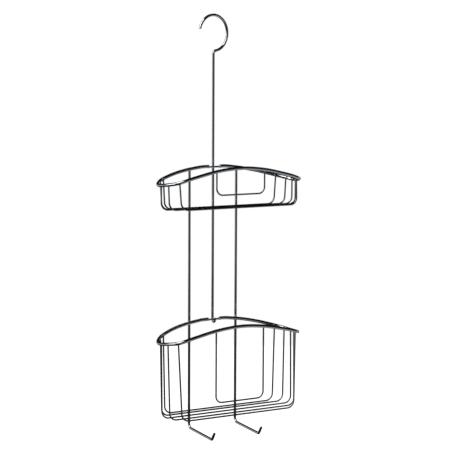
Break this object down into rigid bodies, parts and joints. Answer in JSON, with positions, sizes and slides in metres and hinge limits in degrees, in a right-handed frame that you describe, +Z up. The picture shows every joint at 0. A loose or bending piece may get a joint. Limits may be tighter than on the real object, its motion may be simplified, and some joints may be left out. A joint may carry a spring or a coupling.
{
  "type": "shower caddy",
  "caption": "Hanging two-tier shower caddy of chromed wire: arched-rim baskets on two uprights with towel hooks, carried by a ring-topped hook rod.",
  "frame": {"origin": "inside top of the ring hook, where it rests on the shower arm", "axes": "+Z up along the hook rod, +X to the right, -Y to the front, away from the wall"},
  "size_m": [0.233, 0.0943, 0.6223],
  "materials": {
    "chrome": "polished chrome plating"
  },
  "bodies": {
    "hook_rod": {"hanger": "chrome"},
    "basket_frame": {"lower_basket_wire_1": "chrome", "lower_basket_wire_2": "chrome", "lower_basket_wire_3": "chrome", "lower_basket_wire_4": "chrome", "lower_basket_wire_5": "chrome", "lower_bridge": "chrome", "lower_front_guard": "chrome", "lower_rim": "chrome", "upper_basket_wire_1": "chrome", "upper_basket_wire_2": "chrome", "upper_basket_wire_3": "chrome", "upper_basket_wire_4": "chrome", "upper_basket_wire_5": "chrome", "upper_bridge": "chrome", "upper_front_guard": "chrome", "upper_rim": "chrome", "upright_left": "chrome", "upright_right": "chrome"}
  },
  "joints": [
    {"name": "frame_lift", "type": "slide", "parent": "hook_rod", "child": "basket_frame", "axis": [0, 0, 1], "range_m": [0, 0.03]}
  ]
}
